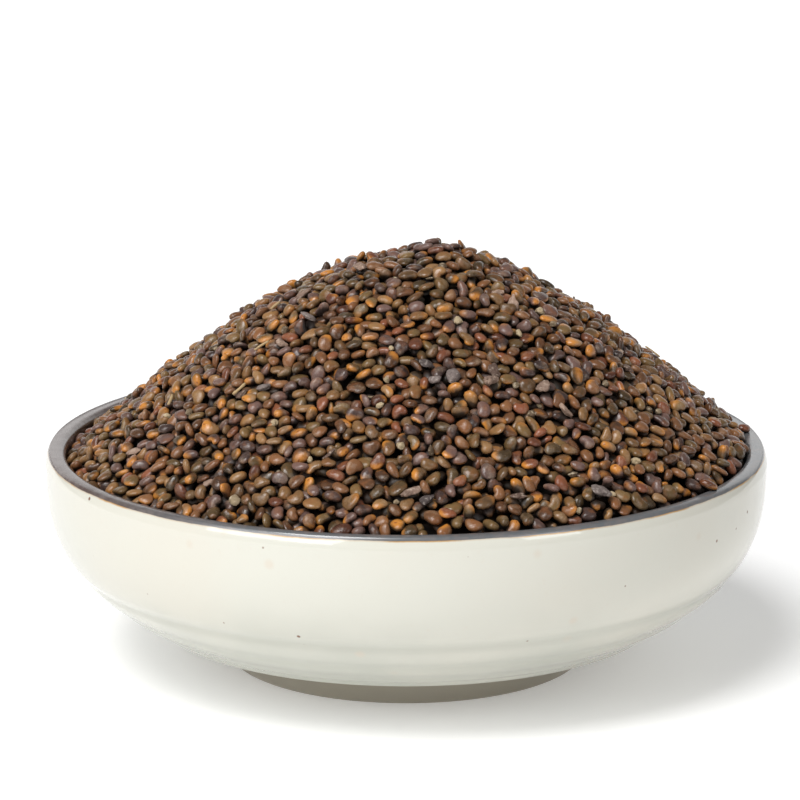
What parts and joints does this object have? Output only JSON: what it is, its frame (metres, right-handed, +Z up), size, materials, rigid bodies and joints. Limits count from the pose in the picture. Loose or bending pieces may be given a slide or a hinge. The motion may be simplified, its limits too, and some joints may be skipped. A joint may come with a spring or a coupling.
{
  "type": "dish of milkvetch seeds",
  "caption": "Small round stoneware dish with a brown glazed lip on a low foot ring, heaped with small kidney-shaped milkvetch seeds.",
  "frame": {"origin": "on the table under the centre of the foot ring", "axes": "+Z up; the picture looks along +Y with +X to the right"},
  "size_m": [0.12, 0.12, 0.0699],
  "materials": {
    "glazed_stoneware": "glossy cream glaze with faint iron specks; the lip and the inside are dark brown",
    "seeds": "dry seeds with a soft satin sheen, olive brown to rust brown and dark purple brown"
  },
  "bodies": {
    "root": {"dish": "glazed_stoneware", "seed_heap": "seeds"}
  },
  "joints": []
}
